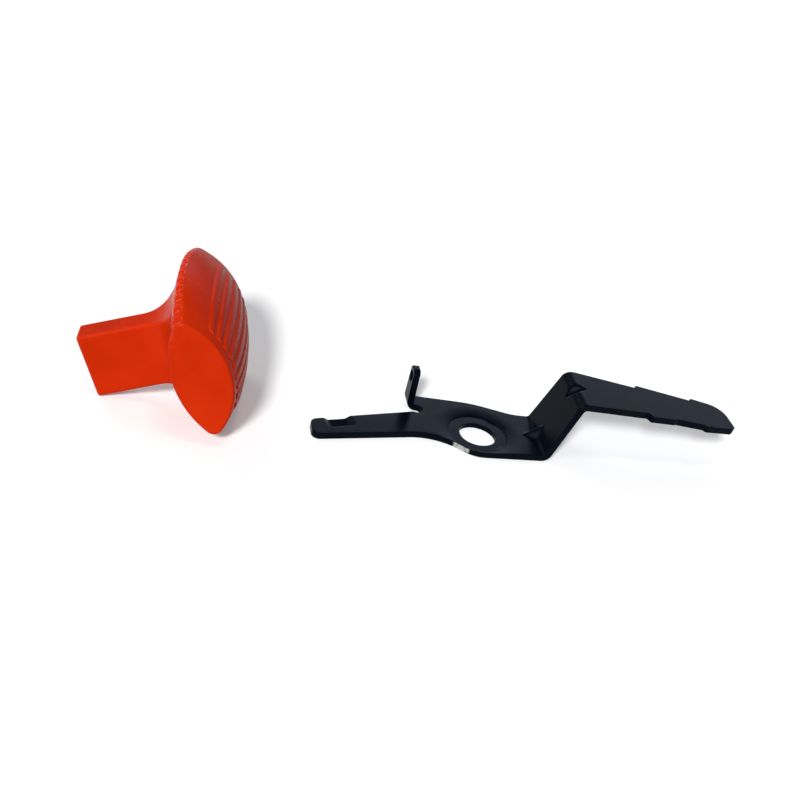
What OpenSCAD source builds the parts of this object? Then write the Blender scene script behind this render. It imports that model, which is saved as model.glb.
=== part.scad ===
// Gear lever of a ride-on mower: a stamped steel lever plate, and its moulded
// T-grip knob drawn off the blade and lying beside it.
// X runs along the lever from the arm to the blade, Z is up from the surface
// that both pieces lie on, and the origin is on the pivot hole's axis.

/* [Plate] */
// Thickness of the steel plate
plate_t = 4; // [3:0.25:5]
// Inside radius of the bends in the plate
bend_r = 2; // [1.5:0.25:3]
// Half width of the rounding that a dart's edges have
dart_edge_r = 0.7; // [0.5:0.1:1]

/* [Pivot] */
// Diameter of the pivot hole
pivot_d = 21.5; // [16:0.5:24]
// Width of the flat seat around the pivot hole
seat_w = 6.45; // [4:0.05:7]
// Depth of the seat below the top of the plate
seat_drop = 1; // [0.6:0.1:1.4]
// Height of the steep wall that bounds the seat
seat_wall = 0.35; // [0.2:0.05:0.5]
// Width of the dished slope outside the seat
dish_w = 9.8; // [6:0.2:12]
// Steel left outside the seat on the side away from the ear
hub_rim = 1.5; // [1:0.1:4]

/* [Arm] */
// Reach of the arm from the pivot axis
arm_reach = 98; // [85:0.2:115]
// Width of the arm at its free end
arm_end_w = 14.6; // [14:0.2:20]
// Width of the arm where it joins the hub
arm_root_w = 20.8; // [17:0.2:22]
// Sideways angle of the arm away from the ear
arm_angle = 13.3; // [8:0.1:16]
// Length of the pressed pocket in the arm
pocket_l = 16; // [10:0.5:20]
// Depth of the pressed pocket in the arm
pocket_d = 2.2; // [1:0.1:2.6]
// Distance from the arm's end to the pocket's middle
pocket_in = 15.5; // [13:0.5:30]

/* [Hub] */
// Width of the hub plate on the ear's side of the pivot axis
hub_w = 31; // [28:0.5:38]
// Distance from the pivot axis to the ear's inner face
ear_x = 34.6; // [33:0.2:40]

/* [Ear] */
// Width of the ear at its root
ear_root_w = 10.2; // [9:0.2:12]
// Diameter of the hole in the ear
ear_hole_d = 6.4; // [4:0.2:7]
// Steel between the ear's hole and its straight edge
ear_rim = 1.4; // [1.2:0.1:3]
// Steel above the hole in the ear
ear_cap = 2.2; // [1.6:0.1:5]
// Height of the ear's hole above the top of the plate
ear_hole_z = 16.3; // [12:0.1:24]
// Radius of the relief notch at the ear's root
relief_r = 3.6; // [2:0.1:4]

/* [Web] */
// Distance from the pivot axis to the lower bend
web_x = 36.5; // [34:0.5:44]
// Rise from the hub plate to the blade
web_rise = 36; // [24:0.5:50]
// Angle of the web above the hub plate
web_angle = 71; // [60:1:80]
// Width of the web at the lower bend
web_low_w = 40; // [36:0.5:44]
// Width of the web at the upper bend
web_top_w = 36.4; // [34:0.5:40]
// Sideways place of the web's and blade's middle line
web_mid_y = 3.2; // [1:0.2:5]
// Length of each stiffening dart along the plate
dart_l = 8; // [5:0.5:10]
// Half width of each stiffening dart
dart_w = 5.4; // [3:0.2:7]

/* [Blade] */
// Length of the blade beyond the upper bend
blade_l = 104; // [90:1:120]
// Downward slope of the blade
blade_drop = 6; // [0:0.5:10]
// Width of the blade's neck and between its barbs
blade_neck_w = 27; // [22:0.5:28]
// Width across the first pair of barbs
barb_w = 33.4; // [29:0.2:34]
// Width across the second pair of barbs
barb_end_w = 30.4; // [28:0.2:32]
// Distance from the upper bend to the first barbs
barb_at = 46; // [40:1:50]
// Distance between the two pairs of barbs
barb_pitch = 37; // [30:1:42]
// Length of a barb's steep shoulder
barb_step = 1.6; // [1:0.1:3]

/* [Knob head] */
// Length of the knob's cross bar
head_l = 86.8; // [76:0.2:100]
// Height of the cross bar's lens section at mid length
head_h = 85.2; // [76:0.2:96]
// Bulge of the cross bar's gripped front
head_front = 20.8; // [16:0.2:26]
// Bulge of the cross bar's back
head_back = 14.4; // [10:0.2:16]
// Share of the section's height lost at each end of the bar
head_crown = 0.205; // [0:0.005:0.25]
// Share of the front bulge lost at each end of the bar
front_crown = 0.16; // [0:0.01:0.3]
// Radius of the lens section's two edges at mid length
head_edge_r = 2.9; // [2.5:0.1:5]
// Radius of the lens section's two edges at each end
head_edge_end_r = 5; // [3:0.1:8]
// Radius around each flat end face
head_end_r = 2; // [1:0.1:4]
// Height of the grip ribs
grip_h = 0.6; // [0.3:0.1:1]
// Width of a grip rib
grip_w = 4; // [3:0.2:5]
// Distance between grip ribs
grip_pitch = 7; // [6.4:0.2:9]
// Bare length between the grip ribs and an end face
grip_end = 4.8; // [4:0.2:12]
// Number of notches along each edge of the bar
notch_n = 12; // [6:1:14]
// Depth of the notches
notch_d = 0.7; // [0.4:0.1:1.2]

/* [Knob stem] */
// Distance from the cross bar's axis to the stem's mouth
stem_l = 62.2; // [50:0.2:80]
// Thickness of the stem along the cross bar
stem_t = 14.4; // [13:0.2:18]
// Wall of the stem along the socket's narrow sides
stem_wall = 2.5; // [2:0.1:3.5]
// Clearance of the socket across the barbs
socket_play = -1.2; // [-1.6:0.1:0]
// Clearance of the blade between the socket's ribs
rib_play = 0.3; // [0.1:0.1:0.6]
// Wall of the stem along the socket's broad sides
socket_wall = 2.5; // [2:0.1:3]
// Depth of the socket
socket_depth = 58; // [40:1:66]
// Depth at which the socket's ribs start
rib_from = 28; // [10:1:34]
// Width of a socket rib
rib_w = 1.6; // [1:0.1:2.5]
// Radius of the flare from the stem into the cross bar
flare_r = 24; // [15:0.2:30]
// Shift of the stem along the cross bar
stem_off = 5.6; // [-8:0.2:8]
// Height of the stem's middle line in the lens section
stem_up = 2.8; // [-4:0.2:4]
// Radius along the stem's four long edges
stem_edge_r = 1.8; // [1:0.1:4]

/* [Lying place] */
// Distance from the pivot axis to the knob's middle along the lever
knob_x = 160.2; // [150:0.2:200]
// Sideways place of the knob's middle
knob_y = 11.8; // [-20:0.2:40]
// Turn of the knob on the surface
knob_turn = -6.4; // [-30:0.1:30]

/* [Hidden] */
plate_col = [0.06, 0.065, 0.075];
knob_col = [0.84, 0.17, 0.04];
fine = 96;
eps = 0.01;
far = 400;

// Corner rounding for an outline: each corner is [x, y, radius]
arc_n = 10;
function unit(v) = v / norm(v);
function turned(v, w) = v[0] * w[1] - v[1] * w[0];
function fillet(p, c, n, r) =
    let (u = unit(p - c), w = unit(n - c),
         half = acos(max(-1, min(1, u * w))) / 2,
         cut = r / tan(half), mid = c + unit(u + w) * (r / sin(half)),
         a0 = c + u * cut - mid, a1 = c + w * cut - mid,
         s = turned(a0, a1) > 0 ? 1 : -1, sweep = s * (180 - 2 * half),
         start = atan2(a0[1], a0[0]),
         steps = max(1, ceil(arc_n * abs(sweep) / 90)))
    [for (i = [0:steps]) mid + r * [cos(start + sweep * i / steps),
                                    sin(start + sweep * i / steps)]];
function xy(c) = [c[0], c[1]];
function rounded(corners) =
    let (k = len(corners))
    [for (i = [0:k - 1])
        each (corners[i][2] == 0 ? [xy(corners[i])] :
            fillet(xy(corners[(i + k - 1) % k]), xy(corners[i]),
                   xy(corners[(i + 1) % k]), corners[i][2]))];

// Lever sizes that follow from the driving ones
pivot_r = pivot_d / 2;
seat_r = pivot_r + seat_w;
dish_r = seat_r + dish_w;
hub_near = seat_r + hub_rim;
bend_out_r = bend_r + plate_t;
bend_step = 8;
bend_lap = 0.5;
bend2_x = web_x + web_rise / tan(web_angle);
bend2_z = plate_t + web_rise;
blade_turn = web_angle + blade_drop;
blade_end = bend2_x + blade_l * cos(blade_drop);
barb1_x = bend2_x + barb_at * cos(blade_drop);
barb2_x = barb1_x + barb_pitch * cos(blade_drop);
ear_bend_x = -ear_x + bend_r;
ear_far_y = hub_w + 1.9;
ear_near_y = ear_far_y - ear_root_w;
ear_hole_at = [ear_far_y - ear_rim - ear_hole_d / 2, plate_t + ear_hole_z];
ear_eye_w = ear_hole_d + 2 * ear_rim;
ear_top = ear_hole_at[1] + ear_hole_d / 2 + ear_cap;

// The arm's two edges, as lines that run to the hub
arm_root_y = 6;
arm_root = [-ear_x, arm_root_y];
arm_end = arm_root - (arm_reach - ear_x) * [1, tan(arm_angle)];
arm_near_root = arm_root - [0, arm_root_w / 2];
arm_near_end = arm_end - [0, arm_end_w / 2];
arm_far_root = arm_root + [0, arm_root_w / 2];
arm_far_end = arm_end + [0, arm_end_w / 2];
near_step = (arm_near_root - arm_near_end) / (arm_reach - ear_x);
far_step = (arm_far_root - arm_far_end) / (arm_reach - ear_x);
neck_fillet_r = 34;
neck_in = 9.8;
near_knee = arm_near_root + near_step * neck_in;
hub_corner_r = hub_near - 0.4;
hub_knee = [-0.3 * hub_near, -hub_near - 0.6];
arm_near_corner_r = 4.2;
arm_far_corner_r = 4.8;

// The plan outline, from the arm's end round the near side to the far side
blade_mid = web_mid_y + 0.4;
web_corner_r = 8;
web_low_near_r = 20;
barb_r = 1;
barb_root_r = 0.8;
small_step = 0.6;
barb_fall = 2.3;
tip_cut = 2.8;
tip_near = blade_mid - barb_end_w / 2 + 3.4;
tip_far_r = 11.5;
hub_far_x = 2.2;
hub_far_r = 60;
web_far_in = 9.6;
web_far_r = 30;
plan = rounded([
    concat(arm_near_end, [arm_near_corner_r]),
    concat(near_knee, [neck_fillet_r]),
    concat(hub_knee, [hub_corner_r]),
    [web_x - 1, web_mid_y - web_low_w / 2, web_low_near_r],
    [bend2_x + 1, blade_mid - web_top_w / 2 - 1, web_corner_r],
    [barb1_x - barb_step, blade_mid - blade_neck_w / 2, barb_root_r],
    [barb1_x, blade_mid - barb_w / 2, barb_r],
    [barb1_x + barb_pitch * 0.44, blade_mid - barb_w / 2 + barb_fall, 0],
    [barb1_x + barb_pitch * 0.46, blade_mid - barb_w / 2 + barb_fall + small_step, 0],
    [barb2_x - barb_step, blade_mid - blade_neck_w / 2, barb_root_r],
    [barb2_x, blade_mid - barb_end_w / 2, barb_r],
    [blade_end - tip_cut, tip_near, 2],
    [blade_end, tip_near + tip_cut, 1.5],
    [blade_end - 0.6, blade_mid + blade_neck_w / 2 - 1.6, tip_far_r],
    [barb2_x, blade_mid + barb_end_w / 2, barb_r],
    [barb2_x - barb_step, blade_mid + blade_neck_w / 2 - 0.8, barb_root_r],
    [barb1_x, blade_mid + barb_w / 2, barb_r],
    [barb1_x - barb_step, blade_mid + blade_neck_w / 2 + 0.4, barb_root_r],
    [bend2_x + 1, blade_mid + web_top_w / 2 - 1, web_corner_r],
    [web_x, web_mid_y + web_low_w / 2, web_corner_r],
    [web_x - web_far_in, web_mid_y + web_low_w / 2 - 0.2, web_far_r],
    [hub_far_x, hub_w, hub_far_r],
    [ear_bend_x, ear_far_y, 0],
    [ear_bend_x, arm_far_root[1] + 0.5, 0],
    concat(arm_far_root, [0]),
    concat(arm_far_end, [arm_far_corner_r])]);

// The side section: hub and arm, lower bend, web, upper bend and blade
low_cut = bend_r * tan(web_angle / 2);
top_cut = bend_out_r * tan(blade_turn / 2);
low_c = [web_x - low_cut, plate_t + bend_r];
web_dir = [cos(web_angle), sin(web_angle)];
web_up = [-sin(web_angle), cos(web_angle)];
web_end = [bend2_x, bend2_z] - web_dir * top_cut;
blade_dir = [cos(blade_drop), -sin(blade_drop)];
blade_up = [sin(blade_drop), cos(blade_drop)];
blade_b = [bend2_x, bend2_z] + blade_dir * (blade_l + 10);
top_c = web_end - web_up * bend_out_r;

function arc(c, r, a0, a1) = let (steps = ceil(abs(a1 - a0) / bend_step))
    [for (i = [0:steps]) c + r * [cos(a0 + (a1 - a0) * i / steps),
                                  sin(a0 + (a1 - a0) * i / steps)]];

module side_section() {
    polygon(concat([[-arm_reach - 10, 0]],
        arc(low_c, bend_out_r, -90, web_angle - 90),
        arc(top_c, bend_r, 90 + web_angle, 90 - blade_drop),
        [blade_b - blade_up * plate_t, blade_b],
        arc(top_c, bend_out_r, 90 - blade_drop, 90 + web_angle),
        arc(low_c, bend_r, web_angle - 90, -90),
        [[-arm_reach - 10, plate_t]]));
}

module formed_strip() {
    intersection() {
        translate([0, far / 2, 0]) rotate([90, 0, 0]) linear_extrude(far) side_section();
        translate([0, 0, -1]) linear_extrude(bend2_z + 20) polygon(plan);
    }
}

// A dart is a rounded pyramid set across a bend's inner corner. It is given by
// the corner's place, and by the directions of the two flats that meet there
dart_y = blade_mid - 0.6;
module dart(corner, dir_a, dir_b, size, width, r) {
    tips = [[corner[0], dart_y - width, corner[1]], [corner[0], dart_y + width, corner[1]],
            [corner[0] + dir_a[0] * size, dart_y, corner[1] + dir_a[1] * size],
            [corner[0] + dir_b[0] * size, dart_y, corner[1] + dir_b[1] * size]];
    hull() for (p = tips) translate(p) sphere(r = r, $fn = 16);
}

low_in = [web_x, plate_t];
low_out = [web_x + plate_t * tan(web_angle / 2), 0];
top_out = [bend2_x, bend2_z];
top_in = top_out - web_up * plate_t - web_dir * plate_t * tan(blade_turn / 2);

module dart_ridges() {
    dart(low_in + [-0.3, -0.3], [-1, 0], web_dir, dart_l, dart_w, dart_edge_r);
    dart(top_in + [-0.4, 0.4], -web_dir, blade_dir, dart_l * 0.8, dart_w * 0.8,
         dart_edge_r);
}

module dart_hollows() {
    dart(low_out + [0.3, 0], [-1, 0], web_dir, dart_l * 0.8, dart_w * 0.8, dart_edge_r);
    dart(top_out + [0, 0.3], -web_dir, blade_dir, dart_l, dart_w, dart_edge_r);
}

// The dished seat: a flat ring below the plate, a steep wall, then a slope that
// runs out through the plate's top
dish_rise = seat_drop - seat_wall;
dish_over = 1.5;

module dished_seat() {
    rotate_extrude($fn = fine) polygon([
        [0, plate_t - seat_drop], [seat_r, plate_t - seat_drop],
        [seat_r, plate_t - dish_rise],
        [dish_r + dish_over, plate_t + dish_rise * dish_over / dish_w],
        [0, plate_t + 2]]);
}

// The pocket: a trough with a flat floor and sloping ends, open over the far edge
pocket_floor_r = 1.3;
pocket_slope = 2.6;
pocket_near_slope = 1.2;
pocket_corner = 2.2;
pocket_lip = 0.5;
pocket_w = arm_end_w * 0.62;
pocket_turn = arm_angle + 3;
pocket_over = 6;

module pocket_mouth() {
    offset(r = pocket_corner) offset(delta = -pocket_corner)
        translate([-pocket_l / 2 - pocket_lip, -pocket_w - pocket_lip])
            square([pocket_l + 2 * pocket_lip, pocket_w + pocket_over + pocket_lip]);
}

module arm_pocket() {
    at = arm_far_end + far_step * pocket_in;
    floor_x = pocket_l / 2 - pocket_slope;
    floor_y = -pocket_w + pocket_near_slope + pocket_floor_r / 2;
    translate([at[0], at[1], plate_t]) rotate([0, 0, pocket_turn]) hull() {
        for (x = [-floor_x, floor_x]) for (y = [floor_y, pocket_over])
            translate([x, y, pocket_floor_r - pocket_d]) sphere(r = pocket_floor_r, $fn = 24);
        translate([0, 0, pocket_lip]) linear_extrude(1) pocket_mouth();
    }
}

// The ear: a bend up from the hub plate, then a flat that narrows to an eye
module ear_outline() {
    polygon(rounded([[ear_far_y, plate_t + bend_r, 0],
        [ear_far_y, ear_top, 2.6],
        [ear_far_y - ear_eye_w + 0.5, ear_top, 3],
        [ear_far_y - ear_eye_w, ear_hole_at[1] - 1.4, 1.5],
        [ear_near_y, plate_t + bend_r, 0]]));
}

module ear() {
    translate([-ear_x, 0, 0]) rotate([90, 0, 90]) translate([0, 0, -plate_t])
        linear_extrude(plate_t) ear_outline();
    translate([0, ear_far_y, 0]) rotate([90, 0, 0]) linear_extrude(ear_root_w)
        polygon(concat(arc([ear_bend_x, plate_t + bend_r], bend_out_r, 180, 270),
            [[ear_bend_x + bend_lap, 0], [ear_bend_x + bend_lap, plate_t]],
            arc([ear_bend_x, plate_t + bend_r], bend_r, 270, 180)));
}

module ear_drill() {
    translate([-ear_x + 1, ear_hole_at[0], ear_hole_at[1]]) rotate([0, -90, 0])
        cylinder(d = ear_hole_d, h = plate_t + 2, $fn = fine);
}

module lever_plate() {
    color(plate_col) difference() {
        union() {
            formed_strip();
            ear();
            dart_ridges();
        }
        dart_hollows();
        dished_seat();
        translate([0, 0, -1]) cylinder(d = pivot_d, h = plate_t + 2, $fn = fine);
        translate([ear_bend_x - 0.9, ear_near_y - relief_r, -1])
            cylinder(r = relief_r, h = bend_out_r + 1, $fn = fine);
        arm_pocket();
        ear_drill();
    }
}

// Knob head: sections of a lens, swept along the bar and crowned at mid length.
// In a section, the first coordinate points to the gripped front
half_h = head_h / 2;
half_l = head_l / 2;
flat_l = half_l - head_end_r;
function to_end(y) = pow(min(abs(y), flat_l) / flat_l, 2);
function crown(y, share) = 1 - share * to_end(y);
function edge_r(y) = head_edge_r + (head_edge_end_r - head_edge_r) * to_end(y);
function end_inset(y) =
    let (over = abs(y) - flat_l)
    over <= 0 ? 0 : head_end_r - sqrt(max(0, pow(head_end_r, 2) - pow(over, 2)));
function arc_r(h, sag) = (h * h + sag * sag) / (2 * sag);
cap_n = 6;
back_n = 14;
grip_bare_h = 12;
grip_n = 2 * floor((half_h - grip_bare_h) / grip_pitch) + 1;
grip_flank = 0.45;
grip_swell = 1.15;
function grip_marks() = [for (i = [0:grip_n - 1]) each
    let (m = (i - (grip_n - 1) / 2) * grip_pitch)
    [[m - grip_w / 2, 0], [m - grip_w / 2 + grip_flank, 1],
     [m, grip_swell], [m + grip_w / 2 - grip_flank, 1], [m + grip_w / 2, 0],
     [m + grip_pitch / 2, 0]]];
function front_marks(reach) = concat([[-reach, 0], [-reach * 0.93, 0]],
    grip_marks(), [[reach * 0.93, 0], [reach, 0]]);

function head_section(y, rise) =
    let (cut = end_inset(y), r = max(1, edge_r(y) - cut),
         h = half_h * crown(y, head_crown) - cut - r,
         f = head_front * crown(y, front_crown) - cut - r,
         b = head_back * crown(y, front_crown / 2) - cut - r,
         rf = arc_r(h, f), rb = arc_r(h, b), af = asin(h / rf), ab = asin(h / rb),
         full = half_h - head_edge_r, reach_full = arc_r(full, head_front - head_edge_r)
              * asin(full / arc_r(full, head_front - head_edge_r)) * PI / 180,
         marks = front_marks(reach_full + 2))
    concat(
        [for (m = marks) let (a = af * m[0] / (reach_full + 2),
                              d = rf + r + rise * m[1])
            [f - rf + d * cos(a), y, d * sin(a)]],
        [for (i = [1:cap_n - 1]) let (a = af + (180 - ab - af) * i / cap_n)
            [r * cos(a), y, h + r * sin(a)]],
        [for (i = [0:back_n]) let (a = ab - 2 * ab * i / back_n)
            [rb - b - (rb + r) * cos(a), y, (rb + r) * sin(a)]],
        [for (i = [1:cap_n - 1]) let (a = 180 + ab + (180 - ab - af) * i / cap_n)
            [r * cos(a), y, -h + r * sin(a)]]);

// Places of the sections along the bar: even steps, the ribs' ends, end roundings
grip_y = flat_l - grip_end;
span_n = 7;
half_stations = concat(
    [for (i = [0:span_n - 1]) [grip_y * i / span_n, grip_h]],
    [[grip_y, grip_h], [grip_y + grip_flank, 0], [flat_l, 0]],
    [for (a = [30, 55, 75, 90]) [flat_l + head_end_r * sin(a), 0]]);
stations = concat([for (i = [len(half_stations) - 1:-1:1])
        [-half_stations[i][0], half_stations[i][1]]], half_stations);

// A solid from a list of closed rings with as many points each
module skin(rings) {
    k = len(rings[0]);
    m = len(rings);
    polyhedron([for (ring = rings) each ring], concat(
        [[for (i = [0:k - 1]) i]],
        [for (j = [0:m - 2]) for (i = [0:k - 1]) each
            let (a = j * k + i, b = j * k + (i + 1) % k, c = a + k, d = b + k)
            [[a, c, b], [b, c, d]]],
        [[for (i = [k - 1:-1:0]) (m - 1) * k + i]]));
}

module head_bar() {
    skin([for (i = [len(stations) - 1:-1:0])
        head_section(stations[i][0], stations[i][1])]);
}

// Stem: rounded oblongs along its length that flare into the back of the bar
socket_w = barb_w + socket_play;
stem_w = socket_w + 2 * stem_wall;
flare_from = -flare_r - 1.2;
mouth_r = 0.4;
thick_flare_r = 20;
thick_flare_from = -thick_flare_r - 9;
function flare(x, from, r) = x <= from ? 0 :
    r - sqrt(max(0, r * r - pow(min(x - from, 0.93 * r), 2)));
function oblong(x, w, t, r) = [for (q = [0:3]) for (i = [0:4])
    let (a = 90 * q + 90 * i / 4,
         cx = (q == 0 || q == 3 ? 1 : -1) * (t - r),
         cz = (q < 2 ? 1 : -1) * (w - r))
    [x, cx + r * cos(a), cz + r * sin(a)]];
stem_stations = concat([-stem_l, -stem_l + mouth_r, -50, -40, -34],
    [for (x = [-30:2.5:-2.5]) x]);
function stem_ring(x, i) = oblong(x,
    stem_w / 2 + flare(x, flare_from, flare_r) - (i == 0 ? mouth_r : 0),
    stem_t / 2 + flare(x, thick_flare_from, thick_flare_r) - (i == 0 ? mouth_r : 0),
    stem_edge_r);

module stem() {
    translate([0, -stem_off, stem_up])
        skin([for (i = [0:len(stem_stations) - 1]) stem_ring(stem_stations[i], i)]);
}

// Socket for the blade: a flat cavity, with ribs deeper in that hold the steel
socket_t = stem_t - 2 * socket_wall;
rib_h = (socket_t - plate_t - rib_play) / 2;
rib_at = [-socket_w / 4, 0, socket_w / 4];

module socket() {
    translate([-stem_l - 1, -stem_off, stem_up]) difference() {
        translate([0, -socket_t / 2, -socket_w / 2])
            cube([socket_depth + 1, socket_t, socket_w]);
        for (z = rib_at) for (s = [-1, 1])
            translate([rib_from + 1, s * (socket_t / 2 - rib_h / 2 + eps) - rib_h / 2,
                       z - rib_w / 2])
                cube([socket_depth, rib_h + eps, rib_w]);
    }
}

// Notches across the two edges of the bar, a little towards its back
notch_r = 2.2;
notch_tilt = 75;
notch_pitch = head_l / notch_n;

module edge_notches() {
    for (side = [1, -1]) for (i = [0:notch_n - 1])
        let (y = (i - (notch_n - 1) / 2) * notch_pitch,
             h = half_h * crown(y, head_crown) - end_inset(y) - edge_r(y),
             reach = edge_r(y) + notch_r - notch_d)
            translate([-reach * cos(notch_tilt), y, side * (h + reach * sin(notch_tilt))])
                rotate([0, side * notch_tilt, 0])
                    cylinder(r = notch_r, h = 6, center = true, $fn = 20);
}

// The knob lies on its bar's lower edge and on the lower end of its stem
lie_a = stem_l - mouth_r;
lie_b = stem_up - stem_w / 2 + half_h - head_edge_r;
lie_tilt = asin(-head_edge_r / norm([lie_a, lie_b])) - atan2(lie_b, lie_a);
lie_z = (half_h - head_edge_r) * cos(lie_tilt) + head_edge_r;

module grip_knob() {
    color(knob_col) translate([-knob_x, knob_y, lie_z])
        rotate([0, lie_tilt, knob_turn]) difference() {
            union() {
                head_bar();
                stem();
            }
            socket();
            edge_notches();
        }
}

lever_plate();
grip_knob();
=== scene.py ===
"""Looks of a mower's gear lever: a black-painted steel plate, and the orange
T-grip knob that lies beside it. Lengths are in millimetres until a mesh is made.
How names end: _L is a length, _W a width, _D a depth, _T a thickness, _H a height,
_R a radius, _N a number of things, and _S a place along the plate as it is laid out."""
import math
import bmesh
import bpy
import numpy as np
from mathutils import Matrix, Vector
from mathutils.geometry import delaunay_2d_cdt
from mathutils.kdtree import KDTree


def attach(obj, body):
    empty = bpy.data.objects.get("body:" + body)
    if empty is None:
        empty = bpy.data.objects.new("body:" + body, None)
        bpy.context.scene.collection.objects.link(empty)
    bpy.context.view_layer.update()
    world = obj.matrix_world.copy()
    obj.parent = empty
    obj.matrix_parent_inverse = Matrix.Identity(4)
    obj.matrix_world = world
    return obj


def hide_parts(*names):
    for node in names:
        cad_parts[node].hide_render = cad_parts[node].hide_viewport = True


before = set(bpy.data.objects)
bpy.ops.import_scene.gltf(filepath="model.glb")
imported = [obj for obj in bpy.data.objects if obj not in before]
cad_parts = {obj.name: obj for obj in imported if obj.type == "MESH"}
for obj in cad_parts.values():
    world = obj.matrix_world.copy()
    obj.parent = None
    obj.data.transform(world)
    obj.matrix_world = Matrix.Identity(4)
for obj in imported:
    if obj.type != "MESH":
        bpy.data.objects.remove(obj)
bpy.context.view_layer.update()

MM = 0.001

# Steel plate
PLATE_T = 4.0
BEND_R = 2.0
EDGE_R = 0.45
BORE_EDGE_R = 0.3
MID_R = BEND_R + PLATE_T / 2

# Hub with its pivot hole at the origin
PIVOT_R = 10.75
SEAT_R = 17.2
SEAT_DROP = 1.0
SEAT_WALL = 0.35
DISH_W = 9.8
SEAT_WALL_W = 0.3
HUB_RIM = 1.5
HUB_W = 31.0
HUB_NEAR = SEAT_R + HUB_RIM
HUB_KNEE = (-0.3 * HUB_NEAR, -HUB_NEAR - 0.6)
HUB_KNEE_R = HUB_NEAR - 0.4
HUB_FAR_X = 2.2
HUB_FAR_R = 60

# Arm
ARM_REACH = 98.0
ARM_END_W = 14.6
ARM_ROOT_W = 20.8
ARM_TURN = math.radians(13.3)
ARM_ROOT_Y = 6.0
POCKET_L = 16.0
POCKET_D = 2.2
POCKET_W = 9.05
POCKET_IN = 15.5
POCKET_TURN = math.radians(16.3)
POCKET_SLOPE = 3.8
POCKET_NEAR_SLOPE = 1.8
POCKET_FOOT = 0.6
POCKET_LEAN = 0.11
ARM_NEAR_R = 4.2
ARM_FAR_R = 4.8
NECK_IN = 9.8
NECK_FILLET_R = 34

# Ear, bent up from the hub's far side
EAR_X = 34.6
EAR_BEND_X = -EAR_X + BEND_R
EAR_FAR_Y = 32.9
EAR_NEAR_Y = 22.7
EAR_HOLE_R = 3.2
EAR_HOLE_Y = 28.3
EAR_HOLE_Z = 20.3
EAR_EYE_W = 9.2
EAR_TOP_Z = 25.7
EAR_TOP_IN = 0.5
EAR_FAR_R = 2.6
EAR_NEAR_R = 3
EAR_KNEE_DOWN = 1.4
EAR_KNEE_R = 1.5
RELIEF_R = 3.6
RELIEF = (EAR_BEND_X - 0.9, EAR_NEAR_Y - RELIEF_R)

# Web between the two bends, and the blade beyond them
WEB_X = 36.5
WEB_RISE = 36.0
WEB_TILT = math.radians(71)
WEB_Y = 3.2
WEB_LOW_W = 40.0
WEB_TOP_W = 36.4
WEB_LOW_NEAR_R = 20
WEB_CORNER_R = 8
WEB_FAR_IN = 9.6
WEB_FAR_R = 30
BLADE_Y = WEB_Y + 0.4
BLADE_DROP = math.radians(6)
BLADE_L = 104.0
NECK_W = 27.0
BARB_W = 33.4
BARB_END_W = 30.4
BARB_AT = 46.0
BARB_PITCH = 37.0
BARB_STEP = 1.6
BARB_R = 1
BARB_ROOT_R = 0.8
BARB_FALL = 2.3
BARB_SMALL_STEP = 0.6
TIP_CUT = 2.8
TIP_NEAR_IN = 3.4
TIP_NEAR_R = 2
TIP_MIDDLE_R = 1.5
TIP_FAR_R = 11.5
DART_Y = BLADE_Y - 0.6
DART_L = 8.0
DART_W = 5.4
DART_SINK = 0.4
DART_BACK_SHARE = 0.8
DART_BLEND = 0.22
DART_RIDGE = 0.006
DART_RIDGE_CUT = 0.02
DART_SPAN = 1.4

# Knob head: a lens section swept along the cross bar
HEAD_L = 86.8
HEAD_H = 85.2
HEAD_FRONT = 20.8
HEAD_BACK = 14.4
HEAD_CROWN = 0.205
FRONT_CROWN = 0.16
TIP_R = 2.9
TIP_END_R = 5.0
HEAD_END_R = 2.0
HALF_H = HEAD_H / 2
FLAT_L = HEAD_L / 2 - HEAD_END_R
GRIP_H = 0.6
GRIP_W = 4.0
GRIP_PITCH = 7.0
GRIP_N = 9
GRIP_Y = FLAT_L - 4.8
GRIP_FIRST = -(GRIP_N - 1) / 2 * GRIP_PITCH
GRIP_FOOT = 0.9
GRIP_FLANK = 1.9
GRIP_SWELL = 0.15
GRIP_END_OUT = 0.3
GRIP_END_SLOPE = 0.5
GRIP_CLEAR = 3.3
FRONT_EXTRA = 2
NOTCH_N = 12
NOTCH_D = 1.7
NOTCH_W = 3.4
NOTCH_TURN = math.radians(127)
NOTCH_FLANK = 0.6
NOTCH_SOFT = 0.06

# Knob stem with its socket for the blade
STEM_L = 62.2
STEM_T = 14.4
STEM_W = 37.2
STEM_OFF = 5.6
STEM_UP = 2.8
STEM_EDGE_R = 1.8
FLARE_R = 24.0
FLARE_FROM = -25.2
THICK_FLARE_R = 20.0
THICK_FLARE_FROM = -29.0
FLARE_SHARE = 0.93
BACK_SPAN = (-30.0, -2.0)
MOUTH_R = 0.4
MOUTH_OUTER_R = 1.0
SOCKET_T = 9.4
SOCKET_W = 32.2
SOCKET_DEPTH = 58.0
SOCKET_RIB_FROM = 28.0
SOCKET_RIB_W = 1.6
SOCKET_RIB_H = 2.55
SOCKET_RIB_START = 0.8
SOCKET_RIB_AT = (-SOCKET_W / 4, 0, SOCKET_W / 4)
SOCKET_EDGE_R = 0.5
STEM_BLEND = 5.0

# Place of the knob beside the lever
KNOB_X = -160.2
KNOB_Y = 11.8
KNOB_TURN = math.radians(-6.4)

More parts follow.
